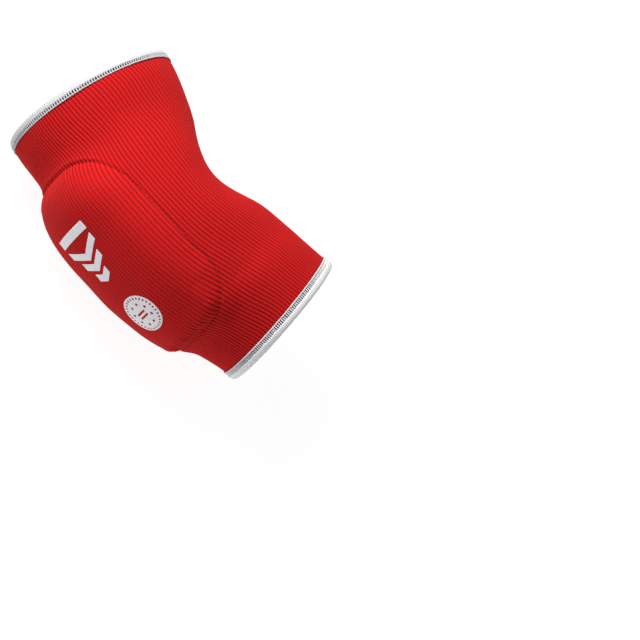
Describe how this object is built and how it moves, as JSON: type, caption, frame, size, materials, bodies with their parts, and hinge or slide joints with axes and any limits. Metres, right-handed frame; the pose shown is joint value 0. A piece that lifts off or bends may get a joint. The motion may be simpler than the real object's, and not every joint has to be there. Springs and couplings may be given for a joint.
{
  "type": "elbow pad",
  "caption": "Bent rib-knit elbow sleeve with a rounded foam pad at the back of the elbow, white overlocked hems at both open ends, and a joint at the elbow.",
  "frame": {"origin": "elbow bending axis, in the middle of the sleeve's width, with the sleeve bent as worn", "axes": "+Z is the elbow's bending axis, +X runs along the arm towards the hand, +Y points to the crook of the arm, so the pad faces -Y"},
  "size_m": [0.2146, 0.1386, 0.1188],
  "materials": {
    "knit_red": "lengthwise rib knit, matt with a slight sheen",
    "thread_white": "matt polyester thread",
    "thread_red": "matt polyester thread",
    "print_white": "thin heat-transfer film, satin",
    "foam_firm": "closed-cell foam",
    "foam_soft": "open-cell foam",
    "lining": "brushed tricot",
    "elastic_white": "woven elastic",
    "label_white": "satin woven tape, blank"
  },
  "bodies": {
    "upper_arm": {"sleeve_knit": "knit_red", "pad_cover": "knit_red", "upper_cuff_knit": "knit_red", "impact_foam": "foam_firm", "comfort_foam": "foam_soft", "pad_lining": "lining", "pad_seam_thread": "thread_red", "upper_cuff_elastic": "elastic_white", "upper_cuff_overlock": "thread_white", "upper_cuff_bars": "thread_white", "upper_cuff_needle_thread": "thread_white", "pad_mark": "print_white", "pad_seal": "print_white", "care_label": "label_white"},
    "forearm": {"lower_cuff_knit": "knit_red", "lower_cuff_elastic": "elastic_white", "lower_cuff_overlock": "thread_white", "lower_cuff_bars": "thread_white", "lower_cuff_needle_thread": "thread_white"}
  },
  "joints": [
    {"name": "elbow_flex", "type": "hinge", "parent": "upper_arm", "child": "forearm", "pos_m": [0, 0, 0], "axis": [0, 0, 1], "range_deg": [-22, 85], "stiffness_Nm_per_rad": 0.02, "deforming": ["sleeve_knit", "pad_cover", "impact_foam", "comfort_foam", "pad_lining", "pad_seam_thread", "pad_mark", "pad_seal"]}
  ]
}
